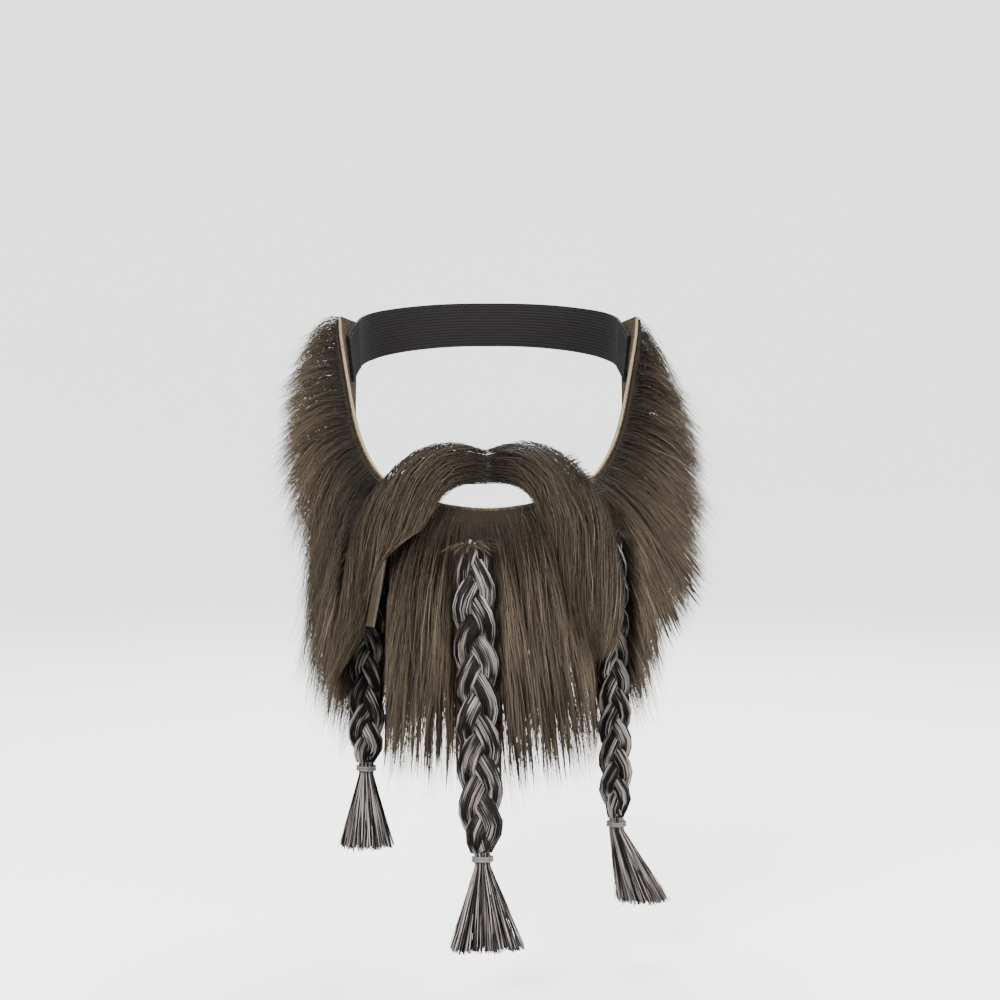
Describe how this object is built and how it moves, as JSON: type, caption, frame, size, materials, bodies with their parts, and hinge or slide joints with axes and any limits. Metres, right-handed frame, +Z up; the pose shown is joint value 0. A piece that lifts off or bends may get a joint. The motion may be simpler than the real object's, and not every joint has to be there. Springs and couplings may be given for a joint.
{
  "type": "fake beard",
  "caption": "Costume beard of brown pile fur with a long separate moustache, tied plaits with brush ends and an elastic strap round the back of the head.",
  "frame": {"origin": "middle of the mouth opening, on the wearer's lips", "axes": "+X towards the wearer's left ear, +Y from the face into the head, +Z up as worn"},
  "size_m": [0.2221, 0.2219, 0.3046],
  "materials": {
    "panel_knit": "knitted backing cloth",
    "brown_fur": "long synthetic pile",
    "strip_cloth": "woven tape",
    "plait_hair": "smooth synthetic hair",
    "tie_rubber": "satin",
    "black_elastic": "knitted elastic"
  },
  "bodies": {
    "root": {"beard_panel": "panel_knit", "beard_fur": "brown_fur", "moustache_strip": "strip_cloth", "moustache_hair_right": "brown_fur", "moustache_hair_left": "brown_fur", "plait_right": "plait_hair", "plait_middle": "plait_hair", "plait_left": "plait_hair", "brush_right": "plait_hair", "brush_middle": "plait_hair", "brush_left": "plait_hair", "tie_right": "tie_rubber", "tie_middle": "tie_rubber", "tie_left": "tie_rubber", "head_strap": "black_elastic"}
  },
  "joints": []
}
